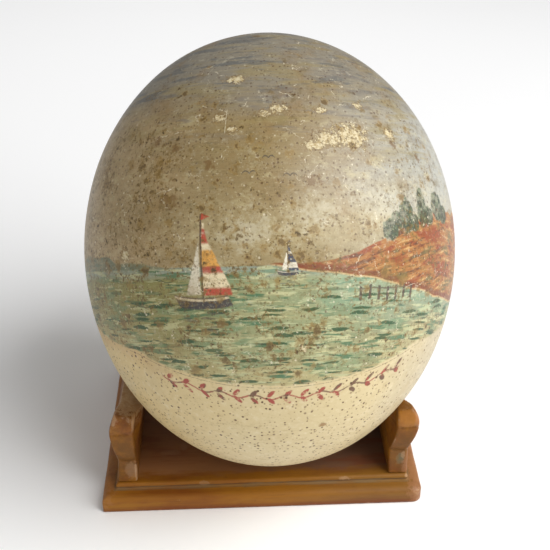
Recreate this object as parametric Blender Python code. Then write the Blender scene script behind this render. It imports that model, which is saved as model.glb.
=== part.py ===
"""An ostrich egg leaning back in a low wooden stand: a moulded base with a carved bracket at each side.

Metres, +Z up. The origin is the centre of the base's underside, -Y is the front, and the egg's lower end
leans towards the front. The brackets run from front to back along the base's sides and cradle the egg.
"""

import math

import bmesh
import bpy
from mathutils import Matrix

MM = 0.001

# Egg
EGG_LENGTH = 152 * MM
EGG_WIDTH = 130 * MM
EGG_BLUNT = 0.006  # the upper half is this share fuller than an ellipse, and the lower half slimmer
EGG_LEAN = math.radians(32)  # the long axis leans back from upright
EGG_SHIFT = 4.4 * MM  # it sits a little right of the stand's middle
EGG_LIFT = 1.0 * MM  # clear height between the egg and the base: the brackets carry it
EGG_MERIDIANS = 64
EGG_PARALLELS = 40

# Base: a slab with a rounded upper edge, and a raised field with a beaded edge on it
BASE_WIDTH = 116 * MM
BASE_DEPTH = 86 * MM
BASE_HEIGHT = 9 * MM
FOOT_CHAMFER = 0.4 * MM
SLAB_EDGE_START = 4.4 * MM  # the slab's side is upright to here, then rounds over
SLAB_EDGE_HEIGHT = 2.1 * MM
SLAB_EDGE_WIDTH = 3.0 * MM
FIELD_INSET = 4.9 * MM
FIELD_BOTTOM = 6.7 * MM
BEAD_RADIUS = 1.1 * MM
CORNER_RADIUS = 0.7 * MM
WORN_CORNER_RADIUS = 3.4 * MM  # the front right corner is worn round
LEAST_RADIUS = 0.3 * MM
ARC_STEPS = 5

# Brackets. Heights are above their own foot, and distances across are from the stand's middle. They are
# carved by hand, so left and right differ.
GLUE_GAP = 0.3 * MM
BRACKETS = {
    "left": {
        "foot": (45.2 * MM, 52.4 * MM),  # inner and outer side at the bottom
        "neck": (44.9 * MM, 51.6 * MM),  # under the lower lobe
        "belly": (45.0 * MM, 53.6 * MM),  # at the crease between the lobes
        "top": (44.3 * MM, 51.4 * MM),
        "neck_height": 10.6 * MM,
        "crease_height": 23.2 * MM,
        "top_height": 31.2 * MM,
        "shoulder": 1.5,  # a larger number keeps the upper lobe full for longer
    },
    "right": {
        "foot": (46.0 * MM, 53.0 * MM),
        "neck": (45.6 * MM, 52.5 * MM),
        "belly": (47.6 * MM, 55.6 * MM),
        "top": (47.6 * MM, 53.0 * MM),
        "neck_height": 12.0 * MM,
        "crease_height": 22.6 * MM,
        "top_height": 30.2 * MM,
        "shoulder": 3.0,
    },
}
END_FROM_MIDDLE = 37.2 * MM
LOBE_PROUD = 2.0 * MM  # how far the carved lobes stand in front of the foot
LOWER_LOBE_MIDDLE = 0.62  # share of the lower lobe's height where it stands out most
CREASE_LIP = 0.5 * MM  # the lobes turn in this far above and below the crease
CREASE_DEPTH = 0.9 * MM
TOP_ROUNDING = 2.6 * MM
EDGE_ROUNDING = 0.8 * MM
LOBE_LENGTH = 11 * MM  # how far back from each end the lobes fade into the board
LOBE_STATIONS = (0.3, 0.5, 0.7, 0.85, 1.0)  # shares of that length with a row of points
BOARD_STATIONS = (17 * MM, 8.5 * MM)  # and the rows nearer to the middle
BOARD_SIDE = 52.4 * MM  # between its ends the outer side is a plain board
BOARD_TOP_SIDE = 50.3 * MM  # with its upper edge rounded in to here
SAG = 4.6 * MM  # the top dips between the ends
INNER_LEAN = 2.3 * MM  # the inner side leans in under the egg between the ends
TOP_SLOPE = 1.4 * MM  # the top is lower on the inner side
SEAT_GAP = 0.45 * MM

# Where each of those changes starts and is complete, as shares of the bracket's height
ROUNDING_SPAN = (0.68, 0.93)
LEAN_SPAN = (0.35, 0.8)
SLOPE_SPAN = (0.7, 1.0)
SAG_SPAN = (0.3, 1.0)

WOOD = ((0.30, 0.125, 0.035, 1.0), 0.45)
SHELL = ((0.72, 0.63, 0.46, 1.0), 0.5)


def clear_scene():
    for obj in list(bpy.data.objects):
        bpy.data.objects.remove(obj)


def material(name, colour, roughness):
    made = bpy.data.materials.new(name)
    made.use_nodes = True
    shader = made.node_tree.nodes["Principled BSDF"]
    shader.inputs["Base Color"].default_value = colour
    shader.inputs["Roughness"].default_value = roughness
    return made


def add_object(name, bm, finish=None):
    mesh = bpy.data.meshes.new(name)
    bmesh.ops.recalc_face_normals(bm, faces=bm.faces)
    bm.to_mesh(mesh)
    bm.free()
    obj = bpy.data.objects.new(name, mesh)
    bpy.context.scene.collection.objects.link(obj)
    if finish:
        mesh.materials.append(finish)
    return obj


def smooth(obj, sharp_degrees=35):
    obj.data.shade_smooth()
    obj.data.set_sharp_from_angle(angle=math.radians(sharp_degrees))


def arc(centre, radii, start, end, steps=ARC_STEPS):
    """Points of an elliptic arc, both ends included. Angles in degrees."""
    points = []
    for i in range(steps + 1):
        angle = math.radians(start + (end - start) * i / steps)
        points.append((centre[0] + radii[0] * math.cos(angle), centre[1] + radii[1] * math.sin(angle)))
    return points


def blend(start, end, amount):
    return start + (end - start) * amount


def ease(amount):
    """0 to 1 with a soft start and a soft end."""
    amount = min(max(amount, 0.0), 1.0)
    return amount * amount * (3 - 2 * amount)


def ease_over(span, share):
    return ease((share - span[0]) / (span[1] - span[0]))


# ---------------------------------------------------------------- egg


def egg_mesh(grow=0.0):
    """An upright egg about its own middle, its surface moved out by grow."""
    bm = bmesh.new()
    bmesh.ops.create_uvsphere(bm, u_segments=EGG_MERIDIANS, v_segments=EGG_PARALLELS, radius=1.0)
    for vert in bm.verts:
        fullness = 1 + EGG_BLUNT * vert.co.z
        vert.co.x *= (EGG_WIDTH / 2 + grow) * fullness
        vert.co.y *= (EGG_WIDTH / 2 + grow) * fullness
        vert.co.z *= EGG_LENGTH / 2 + grow
    return bm


def egg_centre_height():
    half_length = EGG_LENGTH / 2 * math.cos(EGG_LEAN)
    half_width = EGG_WIDTH / 2 * math.sin(EGG_LEAN)
    return BASE_HEIGHT + EGG_LIFT + math.hypot(half_length, half_width)


def place_egg(obj):
    """Leans the egg back and sets it over the base."""
    obj.rotation_euler = Matrix.Rotation(-EGG_LEAN, 4, "X").to_euler()
    obj.location = (EGG_SHIFT, 0, egg_centre_height())


def make_egg(finish):
    egg = add_object("egg", egg_mesh(), finish)
    smooth(egg)
    place_egg(egg)


def make_seat_cutter():
    """A slightly larger egg in the same place, to hollow the brackets with."""
    seat = add_object("seat_cutter", egg_mesh(grow=SEAT_GAP))
    seat.hide_render = True
    seat.display_type = "WIRE"
    place_egg(seat)
    return seat


# ---------------------------------------------------------------- base


def corner_radius(x_side, y_side, inset):
    worn = x_side > 0 and y_side < 0
    radius = WORN_CORNER_RADIUS if worn else CORNER_RADIUS
    return max(radius - inset / 2, LEAST_RADIUS)


def rounded_rectangle(inset):
    """The base's outline in plan, moved in by inset, anticlockwise from the front right corner."""
    half = (BASE_WIDTH / 2 - inset, BASE_DEPTH / 2 - inset)
    points = []
    for x_side, y_side, start in ((1, -1, -90), (1, 1, 0), (-1, 1, 90), (-1, -1, 180)):
        radius = corner_radius(x_side, y_side, inset)
        centre = (x_side * (half[0] - radius), y_side * (half[1] - radius))
        points += arc(centre, (radius, radius), start, start + 90)
    return points


def base_profile():
    """(inset from the outline, height) from the underside up to the flat top."""
    slab = arc((SLAB_EDGE_WIDTH, SLAB_EDGE_START), (SLAB_EDGE_WIDTH, SLAB_EDGE_HEIGHT), 180, 90)
    bead_centre = (FIELD_INSET + BEAD_RADIUS, BASE_HEIGHT - BEAD_RADIUS)
    bead = arc(bead_centre, (BEAD_RADIUS, BEAD_RADIUS), 180, 90)
    return [(FOOT_CHAMFER, 0.0), (0.0, FOOT_CHAMFER)] + slab + [(FIELD_INSET, FIELD_BOTTOM)] + bead


def make_base(finish):
    bm = bmesh.new()
    rings = []
    for inset, height in base_profile():
        rings.append([bm.verts.new((x, y, height)) for x, y in rounded_rectangle(inset)])
    for low, high in zip(rings, rings[1:]):
        bridge(bm, low, high)
    bm.faces.new(rings[0])
    bm.faces.new(rings[-1])
    smooth(add_object("stand_base", bm, finish))


def bridge(bm, low, high):
    """A band of faces between two closed rings of vertices."""
    for i in range(len(low)):
        j = (i + 1) % len(low)
        bm.faces.new((low[i], low[j], high[j], high[i]))


# ---------------------------------------------------------------- brackets


def sides_at_end(form, height):
    """Inner and outer side of the carved end at this height."""
    neck, crease, top = form["neck_height"], form["crease_height"], form["top_height"]
    if height <= neck:
        low, high = form["foot"], form["neck"]
        amount = height / neck
    elif height <= crease:
        low, high = form["neck"], form["belly"]
        amount = ease((height - neck) / (crease - neck))
    else:
        low, high = form["belly"], form["top"]
        amount = ((height - crease) / (top - crease)) ** form["shoulder"]
    return blend(low[0], high[0], amount), blend(low[1], high[1], amount)


def end_profile(form):
    """(distance from the middle, height) up the end: a foot, a lower lobe, a crease and an upper lobe."""
    neck, crease, top = form["neck_height"], form["crease_height"], form["top_height"]
    front = END_FROM_MIDDLE + LOBE_PROUD
    lower_middle = blend(neck, crease, LOWER_LOBE_MIDDLE)
    foot = [(END_FROM_MIDDLE, 0.0), (END_FROM_MIDDLE, neck - CREASE_LIP)]
    lower = arc((END_FROM_MIDDLE, lower_middle), (LOBE_PROUD, lower_middle - neck), -80, 0)
    lower += [(front - CREASE_DEPTH / 4, crease - CREASE_LIP)]
    upper = [(front - CREASE_DEPTH, crease), (front - CREASE_DEPTH / 2, crease + CREASE_LIP)]
    upper += arc((front - TOP_ROUNDING, top - 2 * TOP_ROUNDING), (TOP_ROUNDING, 2 * TOP_ROUNDING), 0, 80)
    return foot + lower + upper


def stations(end):
    """Where a level's points are from front to back, and how far its sides are drawn in there."""
    edge = arc((end - EDGE_ROUNDING, 0.0), (EDGE_ROUNDING, EDGE_ROUNDING), 0, 90, steps=2)
    half = [(y, EDGE_ROUNDING - rise) for y, rise in edge]
    half += [(end - LOBE_LENGTH * share, 0.0) for share in LOBE_STATIONS]
    half += [(distance, 0.0) for distance in BOARD_STATIONS]
    front = [(-y, inset) for y, inset in half]
    return front + [(0.0, 0.0)] + half[::-1]


def level_points(form, end, height):
    """Outer and inner points of one level of the bracket, front to back."""
    inner_end, outer_end = sides_at_end(form, height)
    share = height / form["top_height"]
    board_side = blend(BOARD_SIDE, BOARD_TOP_SIDE, ease_over(ROUNDING_SPAN, share))
    lean = INNER_LEAN * ease_over(LEAN_SPAN, share)
    slope = TOP_SLOPE * ease_over(SLOPE_SPAN, share)
    outer, inner = [], []
    for y, inset in stations(end):
        carved = ease((abs(y) - (end - LOBE_LENGTH)) / (0.7 * LOBE_LENGTH))
        sag = SAG * (1 - (y / end) ** 2) * ease_over(SAG_SPAN, share)
        outer.append((blend(board_side, outer_end, carved) - inset, y, height - sag))
        inner.append((inner_end - lean * (1 - carved) + inset, y, height - sag - slope))
    return outer, inner


def bracket_mesh(form, towards):
    bm = bmesh.new()
    rows = []
    for end, height in end_profile(form):
        row = []
        for points in level_points(form, end, height):
            row.append([bm.verts.new((towards * x, y, z + BASE_HEIGHT + GLUE_GAP)) for x, y, z in points])
        rows.append(row)
    for (outer, inner), (outer_above, inner_above) in zip(rows, rows[1:]):
        bridge(bm, outer + inner[::-1], outer_above + inner_above[::-1])
    for outer, inner in (rows[0], rows[-1]):
        for i in range(len(outer) - 1):
            bm.faces.new((outer[i], outer[i + 1], inner[i + 1], inner[i]))
    return bm


def make_bracket(side, seat, finish):
    towards = 1 if side == "right" else -1
    bracket = add_object(side + "_bracket", bracket_mesh(BRACKETS[side], towards), finish)
    smooth(bracket, 40)
    hollow = bracket.modifiers.new("seat", "BOOLEAN")
    hollow.operation = "DIFFERENCE"
    hollow.object = seat


def main():
    clear_scene()
    shell = material("egg_shell", *SHELL)
    wood = material("stand_wood", *WOOD)
    make_egg(shell)
    make_base(wood)
    seat = make_seat_cutter()
    for side in BRACKETS:
        make_bracket(side, seat, wood)


main()
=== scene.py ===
"""An ostrich egg with an old, worn seaside picture on it, leaning back in a carved wooden stand.

Everything is in metres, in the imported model's frame: +Z up, -Y the front, +X the right. Nothing moves.
The egg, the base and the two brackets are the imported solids' shapes made again in finer form.
"""

import math

import bmesh
import bpy
import numpy as np
from mathutils import Matrix, Vector, noise


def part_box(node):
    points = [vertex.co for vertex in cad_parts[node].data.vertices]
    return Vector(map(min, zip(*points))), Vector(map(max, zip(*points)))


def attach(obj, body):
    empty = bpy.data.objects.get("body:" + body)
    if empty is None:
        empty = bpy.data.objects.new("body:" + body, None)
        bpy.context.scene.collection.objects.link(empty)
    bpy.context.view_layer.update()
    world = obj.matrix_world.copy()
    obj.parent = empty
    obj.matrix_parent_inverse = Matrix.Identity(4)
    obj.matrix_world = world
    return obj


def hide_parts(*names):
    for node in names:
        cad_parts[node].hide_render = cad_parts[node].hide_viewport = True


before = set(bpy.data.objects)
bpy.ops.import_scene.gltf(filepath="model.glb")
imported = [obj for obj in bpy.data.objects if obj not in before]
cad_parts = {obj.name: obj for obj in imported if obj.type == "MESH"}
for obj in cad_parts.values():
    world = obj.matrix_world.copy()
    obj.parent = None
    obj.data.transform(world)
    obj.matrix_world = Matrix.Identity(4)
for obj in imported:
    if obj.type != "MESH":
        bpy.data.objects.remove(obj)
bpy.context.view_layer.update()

MM = 0.001

# Egg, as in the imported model
EGG_LENGTH = 152 * MM
EGG_WIDTH = 130 * MM
EGG_BLUNT = 0.006  # the upper half is this share fuller than an ellipse, and the lower half slimmer
EGG_LEAN = math.radians(32)  # the long axis leans back from upright
EGG_MERIDIANS = 288
EGG_PARALLELS = 208
EGG_UNEVEN = 0.12 * MM  # low swells of the shell
EGG_SWELL = 24 * MM  # and the distance between them
EGG_SEED = 4.1

# Base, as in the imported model
BASE_WIDTH = 116 * MM
BASE_DEPTH = 86 * MM
BASE_HEIGHT = 9 * MM
FOOT_CHAMFER = 0.4 * MM
SLAB_EDGE_START = 4.4 * MM
SLAB_EDGE_HEIGHT = 2.1 * MM
SLAB_EDGE_WIDTH = 3.0 * MM
FIELD_INSET = 4.9 * MM
FIELD_BOTTOM = 6.7 * MM
BEAD_RADIUS = 1.1 * MM
CORNER_RADIUS = 0.7 * MM
WORN_CORNER_RADIUS = 3.4 * MM  # the front right corner is worn round
LEAST_RADIUS = 0.3 * MM
ARC_STEPS = 9
SIDE_STEP = 0.8 * MM  # distance between points along the base's sides
SIDE_ROWS = 6
LEDGE_ROWS = 4
FIELD_RINGS = (0.6, 1.4, 2.6, 5, 10, 18, 28)  # mm in from the bead, rings of points on the flat top

# Brackets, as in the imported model. Heights are above their own foot, distances across from the middle.
GLUE_GAP = 0.3 * MM
BRACKETS = {
    "left": {
        "foot": (45.2 * MM, 52.4 * MM),
        "neck": (44.9 * MM, 51.6 * MM),
        "belly": (45.0 * MM, 53.6 * MM),
        "top": (44.3 * MM, 51.4 * MM),
        "neck_height": 10.6 * MM,
        "crease_height": 23.2 * MM,
        "top_height": 31.2 * MM,
        "shoulder": 1.5,
    },
    "right": {
        "foot": (46.0 * MM, 53.0 * MM),
        "neck": (45.6 * MM, 52.5 * MM),
        "belly": (47.6 * MM, 55.6 * MM),
        "top": (47.6 * MM, 53.0 * MM),
        "neck_height": 12.0 * MM,
        "crease_height": 22.6 * MM,
        "top_height": 30.2 * MM,
        "shoulder": 3.0,
    },
}
END_FROM_MIDDLE = 37.2 * MM
LOBE_PROUD = 2.0 * MM
LOWER_LOBE_MIDDLE = 0.62
CREASE_LIP = 0.5 * MM
CREASE_DEPTH = 0.9 * MM
TOP_ROUNDING = 2.6 * MM
EDGE_ROUNDING = 0.8 * MM
LOBE_LENGTH = 11 * MM
LOBE_ROWS = 12
BOARD_ROWS = 14
BOARD_SIDE = 52.4 * MM
BOARD_TOP_SIDE = 50.3 * MM
SAG = 4.6 * MM
INNER_LEAN = 2.3 * MM
TOP_SLOPE = 1.4 * MM
SEAT_GAP = 0.45 * MM
SEAT_MERIDIANS = 128
SEAT_PARALLELS = 96
ROUNDING_SPAN = (0.68, 0.93)
LEAN_SPAN = (0.35, 0.8)
SLOPE_SPAN = (0.7, 1.0)
SAG_SPAN = (0.3, 1.0)
CARVING_VOXEL = 0.36 * MM  # the carved form is meshed again in this size, then rubbed smooth
CARVING_RUBS = 7

# Wear of the wood
EDGE_FULL = 0.22 * MM  # a place that stands out of its surroundings by this much counts wholly as an edge
DENT_SPACING = 6 * MM
DENT_DEPTH = 0.07 * MM
RUB_SPACING = 9 * MM
RUB_DEPTH = 0.22 * MM
RESTING_HEIGHT = 0.5 * MM  # what lies lower isn't dented, so that the foot stays flat
BASE_ROUNDS = 12  # rounds of smoothing that show what stands out
BRACKET_ROUNDS = 16
BASE_SEED = 2.3
BRACKET_SEED = 5.9

# Materials
SEED_STEP = 13.7  # how far each pattern is moved from the one before
SHELL_BUMP = 0.05 * MM
WOOD_BUMP = 0.04 * MM
WOOD_SPECULAR = 0.28
FLOOR_ROUGHNESS = 0.9

# Camera and light
PHOTO_SIDE = 550  # pixels
FOCAL_PIXELS = 1000
SENSOR = 36.0
CLIP_START = 0.01
CAMERA_PLACE = Vector((-7.95, -306.71, 264.57)) * MM
CAMERA_DOWN = math.radians(32)
CAMERA_TURN = math.radians(-2.65)
FLOOR_SIDE = 12.0
FLOOR_TONE = 0.98
LIGHTS = {
    # place, side of its square, power in watts
    "key": (Vector((0.826, -0.439, 0.903)), 1.1, 22.0),
    "fill": (Vector((-0.50, -0.90, 0.32)), 0.9, 1.2),
}
BACKDROP_LIGHT = Vector((-0.20, 0.62, 1.2))  # it shines straight down on the floor behind the egg
BACKDROP_CONE = math.radians(54)
BACKDROP_POWER = 12.0
BACKDROP_SIZE = 0.15
WORLD_STRENGTH = 0.31


# ---- small tools


def linear(screen_colour):
    """A screen colour, 0 to 255, as the linear numbers that shaders take."""
    shares = [value / 255 for value in screen_colour]
    return [s / 12.92 if s <= 0.04045 else ((s + 0.055) / 1.055) ** 2.4 for s in shares] + [1.0]


def arc(centre, radii, start, end, steps=ARC_STEPS):
    """Points of an elliptic arc, both ends included. Angles in degrees."""
    points = []
    for i in range(steps + 1):
        angle = math.radians(start + (end - start) * i / steps)
        points.append((centre[0] + radii[0] * math.cos(angle), centre[1] + radii[1] * math.sin(angle)))
    return points


def blend(start, end, amount):
    return start + (end - start) * amount


def ease(amount):
    """0 to 1 with a soft start and a soft end."""
    amount = min(max(amount, 0.0), 1.0)
    return amount * amount * (3 - 2 * amount)


def ease_over(span, share):
    return ease((share - span[0]) / (span[1] - span[0]))


def between(start, end, steps):
    """The points that part the way from start to end into steps, without its ends."""
    shares = [i / steps for i in range(1, steps)]
    return [(blend(start[0], end[0], share), blend(start[1], end[1], share)) for share in shares]


def link(name, data):
    """A new object in the scene."""
    obj = bpy.data.objects.new(name, data)
    bpy.context.scene.collection.objects.link(obj)
    return obj


def add_object(name, bm):
    mesh = bpy.data.meshes.new(name)
    bmesh.ops.recalc_face_normals(bm, faces=bm.faces)
    bm.to_mesh(mesh)
    bm.free()
    return link(name, mesh)


def bridge(bm, low, high):
    """A band of faces between two closed rings of vertices."""
    for i in range(len(low)):
        j = (i + 1) % len(low)
        bm.faces.new((low[i], low[j], high[j], high[i]))


def vertex_vectors(mesh, what):
    """Each vertex's place, "co", or its "normal"."""
    vectors = np.empty(len(mesh.vertices) * 3)
    mesh.vertices.foreach_get(what, vectors)
    return vectors.reshape(-1, 3)


def roundness(mesh, rounds):
    """How far each vertex stands out of its surroundings, in metres: less than 0 in creases."""
    ends = np.empty(len(mesh.edges) * 2, dtype=np.int64)
    mesh.edges.foreach_get("vertices", ends)
    one, other = ends.reshape(-1, 2).T
    places = vertex_vectors(mesh, "co")
    count = np.bincount(one, minlength=len(places)) + np.bincount(other, minlength=len(places))
    soft = places.copy()
    for _ in range(rounds):
        total = np.zeros_like(soft)
        np.add.at(total, one, soft[other])
        np.add.at(total, other, soft[one])
        soft = 0.5 * soft + 0.5 * total / count[:, None]
    return np.einsum("ij,ij->i", places - soft, vertex_vectors(mesh, "normal"))


def store(mesh, name, values):
    """Keeps a number for each vertex, which a material can read by its name."""
    kept = mesh.attributes.new(name, "FLOAT", "POINT")
    kept.data.foreach_set("value", np.asarray(values, dtype=np.float32))


def lumps(places, size, seed):
    """Smooth noise from -1 to 1 at each place."""
    shift = Vector((seed, 2 * seed, 3 * seed))
    return np.array([noise.noise(Vector(place) / size + shift) for place in places])


def move_out(mesh, distances):
    """Moves each vertex along its normal."""
    places = vertex_vectors(mesh, "co") + vertex_vectors(mesh, "normal") * np.asarray(distances)[:, None]
    mesh.vertices.foreach_set("co", places.ravel())
    mesh.update()


# ---- nodes


class Socket:
    """An output of a material's nodes. Sums with it add Math nodes."""

    def __init__(self, sheet, output):
        self.sheet = sheet
        self.output = output

    def other(self, key):
        """Another output of the same node."""
        return Socket(self.sheet, self.output.node.outputs[key])

    def fade(self, start, end, low=0.0, high=1.0):
        """low as far as start, high from end on, and a soft change between them."""
        inputs = {"Value": self, "From Min": start, "From Max": end, "To Min": low, "To Max": high}
        return self.sheet.add("ShaderNodeMapRange", inputs, interpolation_type="SMOOTHSTEP")

    def band(self, low, high, soft):
        """1 between low and high."""
        return self.fade(low - soft, low + soft) * self.fade(high + soft, high - soft)

    def __add__(self, other):
        return self.sheet.math("ADD", self, other)

    def __sub__(self, other):
        return self.sheet.math("SUBTRACT", self, other)

    def __rsub__(self, other):
        return self.sheet.math("SUBTRACT", other, self)

    def __mul__(self, other):
        return self.sheet.math("MULTIPLY", self, other)

    def __truediv__(self, other):
        return self.sheet.math("DIVIDE", self, other)

    __radd__ = __add__
    __rmul__ = __mul__


class Sheet:
    """A new material. Its lengths are in millimetres, and its colours are screen colours, 0 to 255."""

    def __init__(self, name):
        self.material = bpy.data.materials.new(name)
        self.material.use_nodes = True
        self.tree = self.material.node_tree
        self.shader = self.tree.nodes["Principled BSDF"]
        self.seed = 0.0
        place = self.add("ShaderNodeTexCoord", {}).other("Object")
        self.spot = self.vector("MULTIPLY", place, (1 / MM,) * 3)  # the place on the piece

    def feed(self, socket, value):
        if isinstance(value, Socket):
            self.tree.links.new(value.output, socket)
        elif socket.type == "RGBA":
            socket.default_value = linear(value)
        else:
            socket.default_value = value

    def add(self, kind, inputs, **settings):
        """Adds a node and returns its first output."""
        node = self.tree.nodes.new(kind)
        for name, value in settings.items():
            setattr(node, name, value)
        for key, value in inputs.items():
            self.feed(node.inputs[key], value)
        return Socket(self, node.outputs[0])

    def math(self, operation, *values):
        return self.add("ShaderNodeMath", dict(enumerate(values)), operation=operation)

    def vector(self, operation, *values):
        return self.add("ShaderNodeVectorMath", dict(enumerate(values)), operation=operation)

    def split(self, vector):
        first = self.add("ShaderNodeSeparateXYZ", {0: vector})
        return [first.other(key) for key in "XYZ"]

    def join(self, x, y):
        return self.add("ShaderNodeCombineXYZ", {"X": x, "Y": y})

    def attribute(self, name):
        return self.add("ShaderNodeAttribute", {}, attribute_name=name).other("Fac")

    def shifted(self, place, size):
        """place in units of size, one number or three, moved so that no two patterns agree."""
        self.seed += SEED_STEP
        sizes = (size,) * 3 if isinstance(size, (int, float)) else size
        shift = (self.seed, -self.seed, 0.5 * self.seed)
        return self.vector("MULTIPLY_ADD", place, tuple(1 / length for length in sizes), shift)

    def clouds(self, place, size, detail, roughness):
        """Smooth noise around 0.5."""
        inputs = {"Vector": self.shifted(place, size), "Scale": 1, "Detail": detail, "Roughness": roughness}
        return self.add("ShaderNodeTexNoise", inputs)

    def noise(self, size, detail=2.0, roughness=0.5, place=None):
        """Smooth noise around 0, mostly within 0.3 of it, over the piece unless a place is given."""
        return self.clouds(place or self.spot, size, detail, roughness) - 0.5

    def cells(self, place, size):
        """How far the nearest of scattered points is, in units of size, and its random numbers."""
        away = self.add("ShaderNodeTexVoronoi", {"Vector": self.shifted(place, size), "Scale": 1.0})
        return away, self.split(away.other("Color"))

    def warped(self, size, reach):
        """The place on the piece moved about by smooth noise, by up to about a third of reach."""
        stray = self.clouds(self.spot, size, 3.0, 0.6).other("Color")
        return self.vector("MULTIPLY_ADD", stray, (reach,) * 3, self.spot)

    def layer(self, under, over, share):
        """over painted on under, where share is 1. 6, 7 and 2 are the Mix node's sockets for colours."""
        return self.add("ShaderNodeMix", {0: share, 6: under, 7: over}, data_type="RGBA").other(2)

    def coats(self, look, *layers):
        """Paints layers on a look in turn. Each has a colour, the value that it follows, the two values
        between which it grows from nothing to its full strength, and that strength."""
        for tint, value, start, end, strength in layers:
            look = self.layer(look, tint, value.fade(start, end, 0.0, strength))
        return look

    def most(self, *values):
        result = values[0]
        for value in values[1:]:
            result = self.math("MAXIMUM", result, value)
        return result

    def finish(self, look, roughness, height, depth):
        """Feeds the shader. height is the bump in units of depth, a length in metres."""
        bump = self.add("ShaderNodeBump", {"Height": height, "Distance": depth})
        for name, value in {"Base Color": look, "Roughness": roughness, "Normal": bump}.items():
            self.feed(self.shader.inputs[name], value)
        return self.material


# ---- egg


def egg_shape(meridians, parallels, grow=0.0):
    """An upright egg about its own middle, its surface moved out by grow."""
    bm = bmesh.new()
    bmesh.ops.create_uvsphere(bm, u_segments=meridians, v_segments=parallels, radius=1.0)
    for vert in bm.verts:
        fullness = 1 + EGG_BLUNT * vert.co.z
        vert.co.x *= (EGG_WIDTH / 2 + grow) * fullness
        vert.co.y *= (EGG_WIDTH / 2 + grow) * fullness
        vert.co.z *= EGG_LENGTH / 2 + grow
    return bm


def egg_middle():
    """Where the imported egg's middle is."""
    low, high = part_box("egg")
    half_length = EGG_LENGTH / 2 * math.cos(EGG_LEAN)
    half_width = EGG_WIDTH / 2 * math.sin(EGG_LEAN)
    return Vector(((low.x + high.x) / 2, 0, low.z + math.hypot(half_length, half_width)))


def set_egg(obj):
    """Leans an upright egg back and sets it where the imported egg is."""
    obj.data.transform(Matrix.Translation(egg_middle()) @ Matrix.Rotation(-EGG_LEAN, 4, "X"))


def make_egg():
    egg = add_object("painted_egg", egg_shape(EGG_MERIDIANS, EGG_PARALLELS))
    egg.data.shade_smooth()
    swell = lumps(vertex_vectors(egg.data, "co"), EGG_SWELL, EGG_SEED)
    move_out(egg.data, EGG_UNEVEN * swell)
    set_egg(egg)
    egg.data.materials.append(shell_material())
    return egg


# ---- the egg's surface
#
# Places on the shell, in millimetres: across runs right along the egg's widest line from the middle of the
# picture, and up runs along the egg's own axis from its widest line.

HORIZON = -6.0
RIM_TILT = 1.35  # a plane of this slope parts the picture from the bare shell, low in front and high behind
RIM_SHIFT = 3.4
FAR_HILLS_END = -34.0
DUNE_START = 9.0
DUNE_TOP = 66.0
BUSHES = (
    # across, up, half width, half height
    (37, 4, 3.4, 3.4),
    (39.8, 7, 2.6, 3),
    (44.4, 8.6, 3.2, 5.6),
    (47.4, 6.4, 2.8, 3),
    (52.2, 11, 2.8, 6.6),
    (55.8, 8.6, 3.2, 3.4),
    (62.6, 12, 4.2, 5),
    (67, 9.6, 3.6, 3.2),
)
GULLS = ((-8, 22, 2.6), (-2, 26.5, 2.2), (4.5, 21, 2.4), (-47, 15, 2))  # across, up, half span
JETTY = (26, 47)  # from and to
JETTY_STEP = 3.4
BORDER_WAVE = 13.0
BORDER_DROP = 4.6
BORDER_ENDS = (-46, 50)
SEA_STROKES = (
    # length and height of a stroke, how rare it is, colour, strength
    (16, 3.2, 0.03, (100, 132, 96), 0.6),
    (9, 1.6, 0.06, (200, 196, 148), 0.62),
    (13, 2, 0.07, (50, 100, 68), 0.8),
    (8, 1.3, 0.09, (178, 182, 140), 0.65),
    (9, 1.5, 0.14, (34, 68, 44), 0.9),
)
# place of the hull's middle, size, colours of the sails and of the hull
BIG_BOAT = (
    (-23, -17),
    1,
    ((176, 66, 46), (226, 208, 170), (218, 158, 72), (214, 204, 180)),
    (58, 52, 54),
)
SMALL_BOAT = (
    (3, -8.5),
    0.36,
    ((52, 62, 84), (222, 214, 192), (52, 62, 84), (226, 220, 200)),
    (48, 54, 70),
)

# Worn places, rubbed places and stains: (across, up, half width, half height)
LOST_PAINT = (
    (19.5, 31.6, 8.5, 4.4),
    (26.5, 32.6, 9, 5.6),
    (13, 29.6, 5, 2.4),
    (2.2, 41.5, 5, 2.8),
    (-3, 40, 4, 1.6),
    (-15, 52, 6, 1.8),
    (17, 41, 4, 1.4),
    (34, 43, 4, 1.8),
    (-19, 39, 3.4, 1.6),
    (-14, 35, 2.6, 1.6),
    (44, 34, 3, 3),
    (-52, -2, 3, 2.5),
    (8, -31, 2.5, 1.5),
)
RUBBED = (
    (36, 12, 18, 11),
    (56, 16, 14, 10),
    (-6, 4, 16, 8),
    (12, 9, 14, 7),
)
LONG_SCRATCH = (-16.5, 34, 41.5)  # across, and its two ends
SCRATCHES = ((0.35, 13), (1.2, 11), (2, 15), (2.75, 12))  # direction, distance between lines
STAINS = (
    (-42, 33, 3, 2.6),
    (-33.5, 30, 3.2, 2.4),
    (-21, 24.5, 3, 3.2),
    (44, 31, 2.2, 3.4),
    (56, 27, 2, 3),
    (12, 19, 5, 4),
    (-33, 14, 5, 4),
)
BROWN_MARK = (21.4, -56.5, 2.6, 1)  # on the bare shell
MOULD = (
    # distance apart, half width as a share of it, how rare it is, colours of rim and heart, strength
    (4.6, 0.34, 0.38, (146, 116, 56), (84, 62, 28), 0.75),
    (2.5, 0.28, 0.34, (126, 100, 48), (64, 48, 22), 0.85),
    (1.3, 0.24, 0.32, (108, 86, 42), (50, 38, 20), 0.85),
)


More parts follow.
